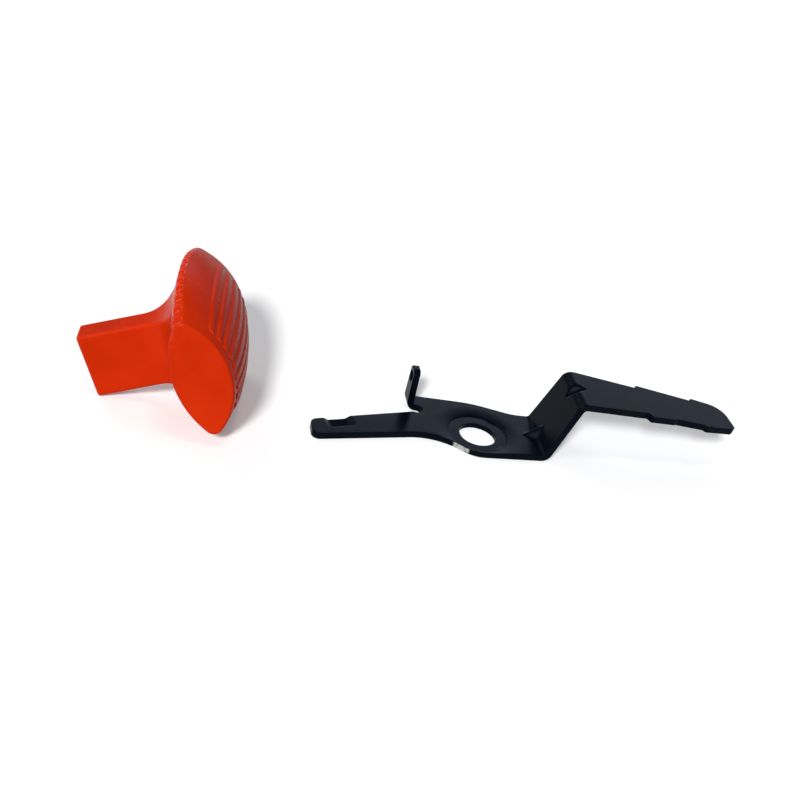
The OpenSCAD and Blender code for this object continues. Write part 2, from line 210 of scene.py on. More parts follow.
# How fine the meshes are: numbers of steps, and lengths of a step
ARC_STEP = 0.16
BORE_STEPS = 120
EYE_STEPS = 56
RELIEF_STEPS = 40
PLATE_RIM_STEP = 1.2
BEND_RIM_STEP = 0.35
BEND_RIM_OVER = 0.5
BEND_STEP = 0.33
BEND_STEP_Y = 0.7
EAR_STEP = 0.4
DART_STEP = 0.5
POCKET_STEP = 0.45
DISH_STEP = 1.5
PLATE_STEP = 2.1
RIM_ROOM = 0.3
BEND_ROOM = 0.6
OPENING_ROOM = 0.35
CAP_STEPS = 18
BACK_STEPS = 56
BARE_STEPS = 16
BAR_STEPS = 66
STEM_STEPS = 55
BLEND_STEPS = 10
MEET_STEPS = 400
LAY_STEPS = 24000
SHARP_FROM = math.radians(40)
MITRE_LEAST = 0.6
SAME_PLACE = 1e-4
JOIN_WITHIN = 1e-6
TINY = 1e-15


def unit(v):
    return v / np.linalg.norm(v)


def smooth_step(v):
    """0 below 0, 1 above 1, and an even S between."""
    t = np.clip(v, 0, 1)
    return t * t * (3 - 2 * t)


def soft_max(a, b, k):
    """The larger of two values, rounded over where they meet within about k."""
    gap = np.clip((b - a) / k, -30, 30)
    return a + k * np.log1p(np.exp(gap))


def soft_min(a, b, k):
    return -soft_max(-a, -b, k)


# Outlines

def fillet(before, corner, after, r):
    """Points of the arc that rounds one corner, no more than a millimetre apart."""
    u = unit(before - corner)
    w = unit(after - corner)
    half = math.acos(np.clip(u @ w, -1, 1)) / 2
    middle = corner + unit(u + w) * r / math.sin(half)
    a = corner + u * r / math.tan(half) - middle
    b = corner + w * r / math.tan(half) - middle
    start = math.atan2(a[1], a[0])
    sweep = math.copysign(math.pi - 2 * half, a[0] * b[1] - a[1] * b[0])
    steps = max(3, math.ceil(abs(sweep) / ARC_STEP), math.ceil(abs(sweep) * r))
    turn = start + sweep * np.linspace(0, 1, steps + 1)
    return middle + r * np.stack([np.cos(turn), np.sin(turn)], 1)


def rounded(corners):
    """An open outline from corners given as x, y and radius; its two ends stay as they are."""
    at = [np.array(corner[:2], float) for corner in corners]
    radii = [corner[2] for corner in corners]
    out = [at[0][None]]
    for before, corner, after, r in zip(at, at[1:], at[2:], radii[1:]):
        out.append(fillet(before, corner, after, r) if r > 0 else corner[None])
    out.append(at[-1][None])
    return np.concatenate(out)


def resampled(loop, longest):
    """A closed loop with its long sides cut into even steps; longest(place) limits them."""
    out = []
    for a, b in zip(loop, np.roll(loop, -1, 0)):
        span = np.linalg.norm(b - a)
        if span < SAME_PLACE:
            continue
        steps = max(1, math.ceil(span / longest((a + b) / 2)))
        out.append(a + (b - a) * (np.arange(steps) / steps)[:, None])
    return np.concatenate(out)


def inset(loop, depth):
    """The loop moved to its left by depth, with its corners mitred."""
    ahead = np.roll(loop, -1, 0) - loop
    ahead /= np.linalg.norm(ahead, axis=1)[:, None]
    left = np.stack([-ahead[:, 1], ahead[:, 0]], 1)
    mean = left + np.roll(left, 1, 0)
    mean /= np.linalg.norm(mean, axis=1)[:, None]
    stretch = np.clip((mean * left).sum(1), MITRE_LEAST, 1)
    return loop + mean * (depth / stretch)[:, None]


def inside(points, loops):
    """Which points have an odd number of the loops' sides to their right."""
    hit = np.zeros(len(points), bool)
    for loop in loops:
        for a, b in zip(loop, np.roll(loop, -1, 0)):
            crosses = (a[1] > points[:, 1]) != (b[1] > points[:, 1])
            if not crosses.any():
                continue
            x = a[0] + (points[:, 1] - a[1]) * (b[0] - a[0]) / (b[1] - a[1] + TINY)
            hit ^= crosses & (points[:, 0] < x)
    return hit


def clear_of(points, taken, room):
    """Which points stay room away from all those taken already."""
    tree = KDTree(len(taken))
    for i, p in enumerate(taken):
        tree.insert((*p, 0), i)
    tree.balance()
    return np.array([tree.find((*p, 0))[2] > room for p in points])


def turned(points, angle):
    """Plan points turned about the origin."""
    c, s = math.cos(angle), math.sin(angle)
    x, y = points.T
    return np.stack([x * c - y * s, x * s + y * c], 1)


def triangles(loops, points):
    """Faces between closed loops and over loose points; indices run through both in order."""
    flat = [Vector(p) for loop in loops for p in loop] + [Vector(p) for p in points]
    sides = []
    start = 0
    for loop in loops:
        n = len(loop)
        sides += [(start + i, start + (i + 1) % n) for i in range(n)]
        start += n
    found = delaunay_2d_cdt(flat, sides, [], 0, JOIN_WITHIN)
    first = [old[0] for old in found[3]]
    tris = np.array([[first[i] for i in f] for f in found[2]])
    at = np.array([tuple(p) for p in flat])
    keep = inside(at[tris].mean(1), loops)
    return tris[keep]


def grid(x0, x1, y0, y1, step_x, step_y):
    """Points in even rows over a rectangle."""
    x = np.linspace(x0, x1, max(2, round((x1 - x0) / step_x) + 1))
    y = np.linspace(y0, y1, max(2, round((y1 - y0) / step_y) + 1))
    return np.stack(np.meshgrid(x, y), -1).reshape(-1, 2)


def strip(row_a, row_b):
    """Quads between two closed rows of vertex numbers."""
    return np.stack([row_a, np.roll(row_a, -1), np.roll(row_b, -1), row_b], 1)


def make_piece(name, points, faces):
    """A smooth-shaded object from points in millimetres and groups of faces."""
    mesh = bpy.data.meshes.new(name)
    mesh.from_pydata((points * MM).tolist(), [], [f for group in faces for f in group.tolist()])
    shape = bmesh.new()
    shape.from_mesh(mesh)
    bmesh.ops.recalc_face_normals(shape, faces=shape.faces)
    shape.to_mesh(mesh)
    shape.free()
    mesh.shade_smooth()
    mesh.set_sharp_from_angle(angle=SHARP_FROM)
    piece = bpy.data.objects.new(name, mesh)
    bpy.context.scene.collection.objects.link(piece)
    even = piece.modifiers.new("flats stay flat", "WEIGHTED_NORMAL")
    even.keep_sharp = True
    return piece


# Lever plate
# The plate is laid out flat: s runs along it through both bends, y across it.
# Each point is then folded to its place by the bends it has passed.

WEB_WAY = np.array([math.cos(WEB_TILT), math.sin(WEB_TILT)])
WEB_UP = np.array([-math.sin(WEB_TILT), math.cos(WEB_TILT)])
BLADE_WAY = np.array([math.cos(BLADE_DROP), -math.sin(BLADE_DROP)])
BLADE_UP = np.array([math.sin(BLADE_DROP), math.cos(BLADE_DROP)])
TOP_TURN = WEB_TILT + BLADE_DROP
LOW_CUT = BEND_R * math.tan(WEB_TILT / 2)
TOP_CUT = (BEND_R + PLATE_T) * math.tan(TOP_TURN / 2)
LOW_CORNER = np.array([WEB_X, PLATE_T])
TOP_CORNER = LOW_CORNER + WEB_WAY * WEB_RISE / math.sin(WEB_TILT)
LOW_S = WEB_X - LOW_CUT
WEB_S = LOW_S + MID_R * WEB_TILT
TOP_S = WEB_S + WEB_RISE / math.sin(WEB_TILT) - LOW_CUT - TOP_CUT
BLADE_S = TOP_S + MID_R * TOP_TURN
LOW_CENTRE = np.array([LOW_S, PLATE_T + BEND_R])
TOP_CENTRE = TOP_CORNER - WEB_WAY * TOP_CUT - WEB_UP * (PLATE_T + BEND_R)
WEB_START = LOW_CENTRE - WEB_UP * MID_R
BLADE_START = TOP_CENTRE + BLADE_UP * MID_R
EAR_FLAT_S = EAR_BEND_X - MID_R * math.pi / 2
EAR_SPLIT_Y = RELIEF[1]
LAY_S = (-110, BLADE_S + 130)
PLATE_AREA = (-110, 190, -25, 40)
POCKET_AREA = (-9.5, 9.5, -11, 2.5)
BEND_Y = (-20, 26)
DART_ASIDE = 7
DART_REACH = 9


def middle_line(s):
    """Middle of the plate in x and z, and the way its top faces, at each s."""
    zero = np.zeros_like(s)
    turn = (s - LOW_S) / MID_R
    low = np.stack([LOW_CENTRE[0] + MID_R * np.sin(turn),
                    LOW_CENTRE[1] - MID_R * np.cos(turn), -np.sin(turn), np.cos(turn)], -1)
    turn = math.pi / 2 + WEB_TILT - (s - TOP_S) / MID_R
    top = np.stack([TOP_CENTRE[0] + MID_R * np.cos(turn),
                    TOP_CENTRE[1] + MID_R * np.sin(turn), np.cos(turn), np.sin(turn)], -1)
    hub = np.stack([s, zero + PLATE_T / 2, zero, zero + 1], -1)
    web = np.concatenate([WEB_START + (s - WEB_S)[..., None] * WEB_WAY,
                          WEB_UP + zero[..., None]], -1)
    blade = np.concatenate([BLADE_START + (s - BLADE_S)[..., None] * BLADE_WAY,
                            BLADE_UP + zero[..., None]], -1)
    s = s[..., None]
    return np.where(s < LOW_S, hub, np.where(s < WEB_S, low,
                    np.where(s < TOP_S, web, np.where(s < BLADE_S, top, blade))))


def ear_line(s):
    """The same for the ear, which bends up where s falls below its bend."""
    turn = np.clip((EAR_BEND_X - s) / MID_R, 0, math.pi / 2)
    rise = np.maximum(EAR_FLAT_S - s, 0)
    return np.stack([EAR_BEND_X - MID_R * np.sin(turn),
                     PLATE_T + BEND_R - MID_R * np.cos(turn) + rise,
                     np.sin(turn), np.cos(turn)], -1)


def folded(flat, height):
    """Points of the formed plate from s, y and the height above its underside."""
    s, y = flat[:, 0], flat[:, 1]
    in_ear = (s < EAR_BEND_X) & (y > EAR_SPLIT_Y)
    line = np.where(in_ear[:, None], ear_line(s), middle_line(s))
    off = height - PLATE_T / 2
    return np.stack([line[:, 0] + line[:, 2] * off, y, line[:, 1] + line[:, 3] * off], 1)


def laid_out(points):
    """Plan points as s and y, through the slopes of the web and the blade."""
    s = np.linspace(*LAY_S, LAY_STEPS)
    x = middle_line(s)[:, 0]
    return np.stack([np.interp(points[:, 0], x, s), points[:, 1]], 1)


def arm_line(side):
    """The arm's root and end points on one edge; side is -1 near or 1 far."""
    reach = ARM_REACH - EAR_X
    root = np.array([-EAR_X, ARM_ROOT_Y + side * ARM_ROOT_W / 2])
    end_y = ARM_ROOT_Y - reach * math.tan(ARM_TURN) + side * ARM_END_W / 2
    return root, np.array([-ARM_REACH, end_y])


def plan_outline():
    """The plate's plan from the arm's end round the near side and the blade to the ear."""
    root, end = arm_line(-1)
    end_middle = (end + arm_line(1)[1]) / 2
    neck = root + (root - end) / (ARM_REACH - EAR_X) * NECK_IN
    top_x = TOP_CORNER[0]
    barb1 = top_x + BARB_AT * math.cos(BLADE_DROP)
    barb2 = barb1 + BARB_PITCH * math.cos(BLADE_DROP)
    tip = top_x + BLADE_L * math.cos(BLADE_DROP)
    low_y = BLADE_Y - NECK_W / 2
    high_y = BLADE_Y + NECK_W / 2
    barb_near = BLADE_Y - BARB_W / 2
    fallen = barb_near + BARB_FALL
    tip_near = BLADE_Y - BARB_END_W / 2 + TIP_NEAR_IN
    web_far = WEB_Y + WEB_LOW_W / 2
    return rounded([
        (*end_middle, 0),
        (*end, ARM_NEAR_R),
        (*neck, NECK_FILLET_R),
        (*HUB_KNEE, HUB_KNEE_R),
        (WEB_X - 1, WEB_Y - WEB_LOW_W / 2, WEB_LOW_NEAR_R),
        (top_x + 1, BLADE_Y - WEB_TOP_W / 2 - 1, WEB_CORNER_R),
        (barb1 - BARB_STEP, low_y, BARB_ROOT_R),
        (barb1, barb_near, BARB_R),
        (barb1 + BARB_PITCH * 0.44, fallen, 0),
        (barb1 + BARB_PITCH * 0.46, fallen + BARB_SMALL_STEP, 0),
        (barb2 - BARB_STEP, low_y, BARB_ROOT_R),
        (barb2, BLADE_Y - BARB_END_W / 2, BARB_R),
        (tip - TIP_CUT, tip_near, TIP_NEAR_R),
        (tip, tip_near + TIP_CUT, TIP_MIDDLE_R),
        (tip - 0.6, high_y - 1.6, TIP_FAR_R),
        (barb2, BLADE_Y + BARB_END_W / 2, BARB_R),
        (barb2 - BARB_STEP, high_y - 0.8, BARB_ROOT_R),
        (barb1, BLADE_Y + BARB_W / 2, BARB_R),
        (barb1 - BARB_STEP, high_y + 0.4, BARB_ROOT_R),
        (top_x + 1, BLADE_Y + WEB_TOP_W / 2 - 1, WEB_CORNER_R),
        (WEB_X, web_far, WEB_CORNER_R),
        (WEB_X - WEB_FAR_IN, web_far - 0.2, WEB_FAR_R),
        (HUB_FAR_X, HUB_W, HUB_FAR_R),
        (EAR_BEND_X, EAR_FAR_Y, 0)])


def unbent_ear(z):
    """The flat blank's s for a height on the standing ear."""
    return EAR_FLAT_S - (z - PLATE_T - BEND_R)


def ear_outline():
    """The ear's flat blank, from the hub's far edge round its top to the relief notch."""
    top_s = unbent_ear(EAR_TOP_Z)
    knee_s = unbent_ear(EAR_HOLE_Z - EAR_KNEE_DOWN)
    eye_near = EAR_FAR_Y - EAR_EYE_W
    blank = rounded([
        (EAR_BEND_X, EAR_FAR_Y, 0),
        (top_s, EAR_FAR_Y, EAR_FAR_R),
        (top_s, eye_near + EAR_TOP_IN, EAR_NEAR_R),
        (knee_s, eye_near, EAR_KNEE_R),
        (EAR_FLAT_S, EAR_NEAR_Y, 0),
        (RELIEF[0], EAR_NEAR_Y, 0)])
    return np.concatenate([blank[1:], relief_notch()])


def relief_notch():
    """The round notch at the ear's root, from the ear to where it meets the arm's far edge."""
    centre = np.array(RELIEF)
    root, end = arm_line(1)
    way = unit(root - end)
    to_root = root - centre
    along = to_root @ way
    meet = root - way * (along + math.sqrt(RELIEF_R ** 2 - to_root @ to_root + along ** 2))
    last = math.atan2(meet[1] - centre[1], meet[0] - centre[0])
    turn = np.linspace(math.pi / 2, last, RELIEF_STEPS)[1:]
    return centre + RELIEF_R * np.stack([np.cos(turn), np.sin(turn)], 1)


def circle(x, y, r, n):
    """A hole's edge, run clockwise so that the steel lies to its left."""
    turn = -2 * math.pi * np.arange(n) / n
    return np.array([x, y]) + r * np.stack([np.cos(turn), np.sin(turn)], 1)


def rim_step(at):
    """The longest step along the plate's rim: short where the plate is bent."""
    bends = [(LOW_S, WEB_S), (TOP_S, BLADE_S)]
    if at[1] > EAR_SPLIT_Y:
        bends.append((EAR_FLAT_S, EAR_BEND_X))
    bent = any(a - BEND_RIM_OVER < at[0] < b + BEND_RIM_OVER for a, b in bends)
    return BEND_RIM_STEP if bent else PLATE_RIM_STEP


def plate_loops():
    """The edges of the flat plate: its outline, the bore and the hole in the ear."""
    root, end = arm_line(1)
    far_end = fillet(root, end, arm_line(-1)[1], ARM_FAR_R)
    outer = np.concatenate([laid_out(plan_outline()), ear_outline(), far_end])
    return [resampled(outer, rim_step),
            circle(0, 0, PIVOT_R, BORE_STEPS),
            circle(unbent_ear(EAR_HOLE_Z), EAR_HOLE_Y, EAR_HOLE_R, EYE_STEPS)]


def pocket_middle():
    """The middle of the pocket's open side, in the arm's far edge."""
    root, end = arm_line(1)
    return end + (root - end) / (ARM_REACH - EAR_X) * POCKET_IN


def top_height(flat):
    """Height of the plate's top above its underside, with seat, dish and pocket."""
    r = np.hypot(flat[:, 0], flat[:, 1])
    rise = SEAT_DROP - SEAT_WALL
    height = PLATE_T - rise * np.clip(1 - (r - SEAT_R) / DISH_W, 0, 1) ** 2
    seat = PLATE_T - SEAT_DROP
    outside = smooth_step((r - SEAT_R) / SEAT_WALL_W)
    return np.minimum(seat + (height - seat) * outside, pocket_floor(flat))


def pocket_floor(flat):
    """Height of the arm's pocket: a leaning floor with walls that round up to its mouth."""
    along, across = turned(flat - pocket_middle(), -POCKET_TURN).T
    to_end = (POCKET_L / 2 + POCKET_FOOT - np.abs(along)) / POCKET_SLOPE
    to_near = (POCKET_W + POCKET_FOOT / 2 + across) / POCKET_NEAR_SLOPE
    out = np.hypot(np.maximum(1 - to_end, 0), np.maximum(1 - to_near, 0))
    depth = POCKET_D - POCKET_LEAN * (across + POCKET_W / 2)
    return PLATE_T - depth * smooth_step(1 - out)


def hub_rings():
    """Rings of points round the bore, close together at the seat's wall and the dish's rim."""
    seat = SEAT_R + np.array([-4.6, -2.8, -1.1, -0.15, 0, 0.1, 0.2, 0.32, 0.7, 2.2, 4.2, 6.2])
    rim = SEAT_R + DISH_W + np.array([-1.8, -0.6, 0, 0.6, 1.8])
    return [circle(0, 0, r, round(2 * math.pi * r / DISH_STEP)) for r in (*seat, *rim)]


def dart_grid(from_s, to_s):
    """Points over one half of a dart."""
    return grid(from_s, to_s, DART_Y - DART_ASIDE, DART_Y + DART_ASIDE, DART_STEP, DART_STEP)


def plate_points(loops):
    """Loose points over the plate, closer where it bends or is pressed."""
    fine = hub_rings()
    for bend_from, bend_to in ((LOW_S, WEB_S), (TOP_S, BLADE_S)):
        fine += [dart_grid(bend_from - DART_REACH, bend_from - BEND_ROOM),
                 grid(bend_from, bend_to, *BEND_Y, BEND_STEP, BEND_STEP_Y),
                 dart_grid(bend_to + BEND_ROOM, bend_to + DART_REACH)]
    fine.append(grid(EAR_FLAT_S, EAR_BEND_X, EAR_NEAR_Y - 1, EAR_FAR_Y, EAR_STEP, 1))
    pocket = grid(*POCKET_AREA, POCKET_STEP, POCKET_STEP)
    fine.append(pocket_middle() + turned(pocket, POCKET_TURN))
    fine = np.concatenate(fine)
    fine = fine[inside(fine, loops)]
    border = np.concatenate(loops)
    fine = fine[clear_of(fine, border, RIM_ROOM)]
    coarse = grid(*PLATE_AREA, PLATE_STEP, PLATE_STEP)
    coarse = coarse[inside(coarse, loops)]
    taken = np.concatenate([border, fine])
    return np.concatenate([fine, coarse[clear_of(coarse, taken, PLATE_STEP / 2 + 0.05)]])


def dart_corners(is_top):
    """Each bend's sharp corner on one face, the way its dart is pressed and its depth's share."""
    low_way = unit(WEB_WAY - np.array([1, 0]))
    top_way = unit(BLADE_WAY - WEB_WAY)
    low = LOW_CORNER
    top = TOP_CORNER
    if not is_top:
        low = low + np.array([PLATE_T * math.tan(WEB_TILT / 2), -PLATE_T])
        top = top - WEB_UP * PLATE_T - WEB_WAY * PLATE_T * math.tan(TOP_TURN / 2)
    return ((low, low_way, math.sin(WEB_TILT / 2)), (top, top_way, math.sin(TOP_TURN / 2)))


def darted(points, is_top):
    """Presses the two stiffening darts across the bends."""
    out = points.copy()
    share = 1 if is_top else DART_BACK_SHARE
    for corner, way, lift in dart_corners(is_top):
        across = (out[:, 1] - DART_Y) / (share * DART_W)
        aside = np.sqrt(across ** 2 + DART_RIDGE) - DART_RIDGE_CUT
        face = (share * DART_L * lift + DART_SINK) * (1 - aside)
        deep = (out[:, [0, 2]] - corner) @ way
        near = (np.abs(out[:, 0] - corner[0]) < 2 * DART_L) & (aside < DART_SPAN)
        push = np.where(near, soft_max(deep, face, DART_BLEND) - deep, 0)
        out[:, 0] += push * way[0]
        out[:, 2] += push * way[1]
    return out


def edge_rings(loop, edge_r):
    """Rows of the rounded rim of one loop, from its underside to its top."""
    turns = np.radians([90, 67, 45, 22, 0])
    below = [(edge_r * (1 - math.cos(t)), edge_r * (1 - math.sin(t))) for t in turns]
    rows = []
    for depth, height in below:
        flat = inset(loop, depth)
        rows.append(folded(flat, np.full(len(flat), height)))
    for depth, drop in reversed(below):
        flat = inset(loop, depth)
        rows.append(folded(flat, top_height(flat) - drop))
    return rows


def build_lever():
    """The plate: rounded rims from its underside to its top, and the two faces between them."""
    loops = plate_loops()
    radii = [EDGE_R, BORE_EDGE_R, BORE_EDGE_R]
    borders = [inset(loop, r) for loop, r in zip(loops, radii)]
    loose = plate_points(borders)
    tris = triangles(borders, loose)
    points = []
    faces = []
    start = 0
    low_rim = []
    top_rim = []
    for loop, r in zip(loops, radii):
        rows = edge_rings(loop, r)
        n = len(loop)
        numbers = [start + k * n + np.arange(n) for k in range(len(rows))]
        faces += [strip(a, b) for a, b in zip(numbers, numbers[1:])]
        low_rim.append(numbers[0])
        top_rim.append(numbers[-1])
        points += rows
        start += n * len(rows)
    low = folded(loose, np.zeros(len(loose)))
    top = folded(loose, top_height(loose))
    low_numbers = np.concatenate(low_rim + [start + np.arange(len(loose))])
    top_numbers = np.concatenate(top_rim + [start + len(loose) + np.arange(len(loose))])
    faces += [low_numbers[tris][:, ::-1], top_numbers[tris]]
    points += [darted(low, False), darted(top, True)]
    return make_piece("lever_plate_steel", np.concatenate(points), faces)


# Grip knob
# In the knob's own frame x points to the gripped front, y along the cross bar,
# z to its upper edge, and the stem runs to -x.

def head_law(y):
    """Sizes of the lens section at y: tip radius, arc height, front and back arcs."""
    k = (np.minimum(np.abs(y), FLAT_L) / FLAT_L) ** 2
    over = np.maximum(np.abs(y) - FLAT_L, 0)
    cut = HEAD_END_R - np.sqrt(np.maximum(HEAD_END_R ** 2 - over ** 2, 0))
    r = TIP_R + (TIP_END_R - TIP_R) * k - cut
    h = HALF_H * (1 - HEAD_CROWN * k) - cut - r
    front = HEAD_FRONT * (1 - FRONT_CROWN * k) - cut - r
    back = HEAD_BACK * (1 - FRONT_CROWN / 2 * k) - cut - r
    front_r = (h * h + front * front) / (2 * front)
    back_r = (h * h + back * back) / (2 * back)
    return r, h, front, back, front_r, back_r


def back_x(y, z):
    """The head's back surface."""
    r, h, front, back, front_r, back_r = head_law(y)
    return back_r - back - np.sqrt((back_r + r) ** 2 - z ** 2)


def rib_height(m, y):
    """Height of the grip ribs at arc place m and bar place y."""
    nearest = np.clip(np.round((m - GRIP_FIRST) / GRIP_PITCH), 0, GRIP_N - 1)
    aside = np.abs(m - GRIP_FIRST - nearest * GRIP_PITCH)
    side = smooth_step((GRIP_W / 2 + GRIP_FOOT - aside) / GRIP_FLANK)
    swell = 1 + GRIP_SWELL * np.maximum(1 - (2 * aside / GRIP_W) ** 2, 0)
    end = smooth_step((GRIP_Y + GRIP_END_OUT - np.abs(y)) / GRIP_END_SLOPE)
    return GRIP_H * side * swell * end


def notch_places():
    """The notches' middles along the bar."""
    return (np.arange(NOTCH_N) - (NOTCH_N - 1) / 2) * HEAD_L / NOTCH_N


def tip_radius(y, turn, r):
    """The tip's radius at one direction, less where a notch crosses it."""
    within = (NOTCH_W + NOTCH_FLANK) / 2 - np.abs(y - notch_places()).min()
    if within < 0:
        return r
    flat = r - NOTCH_D * smooth_step(within / NOTCH_FLANK)
    lean = np.cos(turn - NOTCH_TURN)
    cut = np.where(lean > 0.5, flat / np.maximum(lean, 0.5), 2 * r)
    return soft_min(np.full_like(cut, r), cut, NOTCH_SOFT)


def full_reach():
    """Arc place of the front's last row."""
    r, h, front, back, front_r, back_r = head_law(np.array(0.0))
    return float(front_r * np.arcsin(h / front_r)) + FRONT_EXTRA


def front_marks():
    """Arc places of the front's rows: close at the ribs' flanks, even elsewhere."""
    half = [0, 0.5, 0.95, 1.3, 1.6, 1.9, 2.2, 2.5, 2.9]
    centres = [GRIP_FIRST + i * GRIP_PITCH for i in range(GRIP_N)]
    ribs = [centre + side * off for centre in centres for off in half for side in (-1, 1)]
    bare = list(np.linspace(GRIP_CLEAR - GRIP_FIRST, full_reach(), BARE_STEPS))
    return np.array(sorted(set(np.round(ribs + bare + [-v for v in bare], 4))))


def head_ring(y, marks):
    """One section of the head, as a closed ring: front, upper tip, back and lower tip."""
    r, h, front, back, front_r, back_r = [float(v) for v in head_law(np.array(float(y)))]
    front_turn = math.asin(h / front_r)
    back_turn = math.asin(h / back_r)
    a = front_turn * marks / full_reach()
    d = front_r + r + rib_height(marks, y)
    face = np.stack([front - front_r + d * np.cos(a), d * np.sin(a)], 1)
    span = math.pi - back_turn - front_turn
    a = front_turn + span * np.arange(1, CAP_STEPS) / CAP_STEPS
    tip = tip_radius(y, a, r)
    upper = np.stack([tip * np.cos(a), h + tip * np.sin(a)], 1)
    lower = upper[::-1] * np.array([1, -1])
    a = back_turn * (1 - 2 * np.arange(BACK_STEPS + 1) / BACK_STEPS)
    d = back_r + r
    rear = np.stack([back_r - back - d * np.cos(a), d * np.sin(a)], 1)
    ring = np.concatenate([face, upper, rear, lower])
    return np.stack([ring[:, 0], np.full(len(ring), float(y)), ring[:, 1]], 1)


def bar_stations():
    """Places of the head's sections along the bar: closer at the ribs' ends and the rounding."""
    even = np.linspace(0, GRIP_Y - 0.6, BAR_STEPS)
    rib_end = GRIP_Y + np.array([-0.3, -0.15, 0, 0.15, 0.3, 0.6])
    bare = np.linspace(GRIP_Y + 1.1, FLAT_L, 9)
    rounding = FLAT_L + HEAD_END_R * np.sin(np.radians([12, 24, 36, 48, 60, 70, 79, 86, 90]))
    half = np.concatenate([even[1:], rib_end, bare, rounding])
    return np.concatenate([-half[::-1], [0], half])


def flare(x, start, r):
    """How far the stem has widened at x, along an arc that starts at start."""
    ahead = np.clip(x - start, 0, FLARE_SHARE * r)
    return r - np.sqrt(r * r - ahead ** 2)


def stem_marks():
    """Points round the stem's section: place on its flats, and the way its corner faces."""
    rib_edges = [centre + side * (SOCKET_RIB_W / 2 + off)
                 for centre in SOCKET_RIB_AT for side in (-1, 1) for off in (0, 0.15)]
    shares = np.array(rib_edges) / (SOCKET_W / 2 - SOCKET_EDGE_R)
    broad = np.unique(np.round([*np.linspace(-1, 1, 21), *shares], 4))
    thin = np.linspace(-1, 1, 9)
    rows = []
    for turn in range(4):
        flats = thin[1:-1] if turn % 2 else broad[1:-1]
        way = turn * math.pi / 2
        n = np.array([math.cos(way), math.sin(way)])
        t = np.array([-n[1], n[0]])
        rows += [(*(n + t * f), *n) for f in flats]
        for a in np.linspace(0, math.pi / 2, 7):
            facing = (math.cos(way + a), math.sin(way + a))
            rows.append((*(n + t), *facing))
    return np.array(rows)


def stem_section(x, marks, half_t, half_w, r):
    """Points of the stem at x for each mark."""
    y = -STEM_OFF + marks[:, 0] * (half_t - r) + marks[:, 2] * r
    z = STEM_UP + marks[:, 1] * (half_w - r) + marks[:, 3] * r
    return np.stack([np.broadcast_to(x, y.shape), y, z], 1)


def stem_at(x, marks):
    """The stem's outside at x, with its flares."""
    half_t = STEM_T / 2 + flare(x, THICK_FLARE_FROM, THICK_FLARE_R)
    half_w = STEM_W / 2 + flare(x, FLARE_FROM, FLARE_R)
    return stem_section(x, marks, half_t, half_w, STEM_EDGE_R)


def stem_meets(marks):
    """The x at which each line of the stem reaches the head's back."""
    met = np.full(len(marks), BACK_SPAN[1])
    short = np.ones(len(marks), bool)
    for x in np.linspace(*BACK_SPAN, MEET_STEPS):
        p = stem_at(x, marks)
        past = x >= back_x(p[:, 1], p[:, 2])
        met[short & past] = x
        short &= ~past
    return met


def stem_rows(marks):
    """Rows of the stem's outside, from the mouth to a soft blend into the head's back."""
    met = stem_meets(marks)
    rows = []
    for a in np.radians([90, 60, 30, 0]):
        cut = MOUTH_OUTER_R * (1 - math.cos(a))
        x = -STEM_L + MOUTH_OUTER_R * (1 - math.sin(a))
        rows.append(stem_section(x, marks, STEM_T / 2 - cut, STEM_W / 2 - cut, STEM_EDGE_R - cut))
    start = -STEM_L + MOUTH_OUTER_R
    for share in np.linspace(0, 1, STEM_STEPS + 1)[1:]:
        rows.append(stem_at(start + (met - STEM_BLEND - start) * share, marks))
    from_stem = rows[-1]
    corner = stem_at(met, marks)
    way = marks[:, 2:]
    y = corner[:, 1] + way[:, 0] * STEM_BLEND
    z = corner[:, 2] + way[:, 1] * STEM_BLEND
    on_head = np.stack([back_x(y, z), y, z], 1)
    for t in np.linspace(0, 1, BLEND_STEPS + 1)[1:]:
        rows.append(from_stem * (1 - t) ** 2 + corner * 2 * t * (1 - t) + on_head * t ** 2)
    return rows


def socket_rows(marks):
    """Rows of the socket, from its mouth to its closed end."""
    rows = []
    half_t = SOCKET_T / 2
    half_w = SOCKET_W / 2
    for a in np.radians([0, 45, 90]):
        grow = MOUTH_R * (1 - math.sin(a))
        x = -STEM_L + MOUTH_R * (1 - math.cos(a))
        rows.append(stem_section(x, marks, half_t + grow, half_w + grow, SOCKET_EDGE_R + grow))
    z = marks[:, 1] * (half_w - SOCKET_EDGE_R)
    aside = np.abs(z[:, None] - SOCKET_RIB_AT).min(1)
    on_rib = (aside < SOCKET_RIB_W / 2 + 0.05) & (np.abs(marks[:, 2]) > 0.99)
    full_from = SOCKET_RIB_FROM + SOCKET_RIB_START
    for depth, rise in ((SOCKET_RIB_FROM, 0), (full_from, 1), (SOCKET_DEPTH, 1)):
        row = stem_section(-STEM_L + depth, marks, half_t, half_w, SOCKET_EDGE_R)
        row[:, 1] -= np.where(on_rib, marks[:, 2] * SOCKET_RIB_H * rise, 0)
        rows.append(row)
    return rows


def lie_place():
    """Moves the knob to where it lies: on its lower edge and on its stem's end."""
    a = STEM_L - MOUTH_R
    b = STEM_UP - STEM_W / 2 + HALF_H - TIP_R
    tilt = math.asin(-TIP_R / math.hypot(a, b)) - math.atan2(b, a)
    rise = (HALF_H - TIP_R) * math.cos(tilt) + TIP_R
    return (Matrix.Translation((KNOB_X, KNOB_Y, rise))
            @ Matrix.Rotation(KNOB_TURN, 4, "Z") @ Matrix.Rotation(tilt, 4, "Y"))


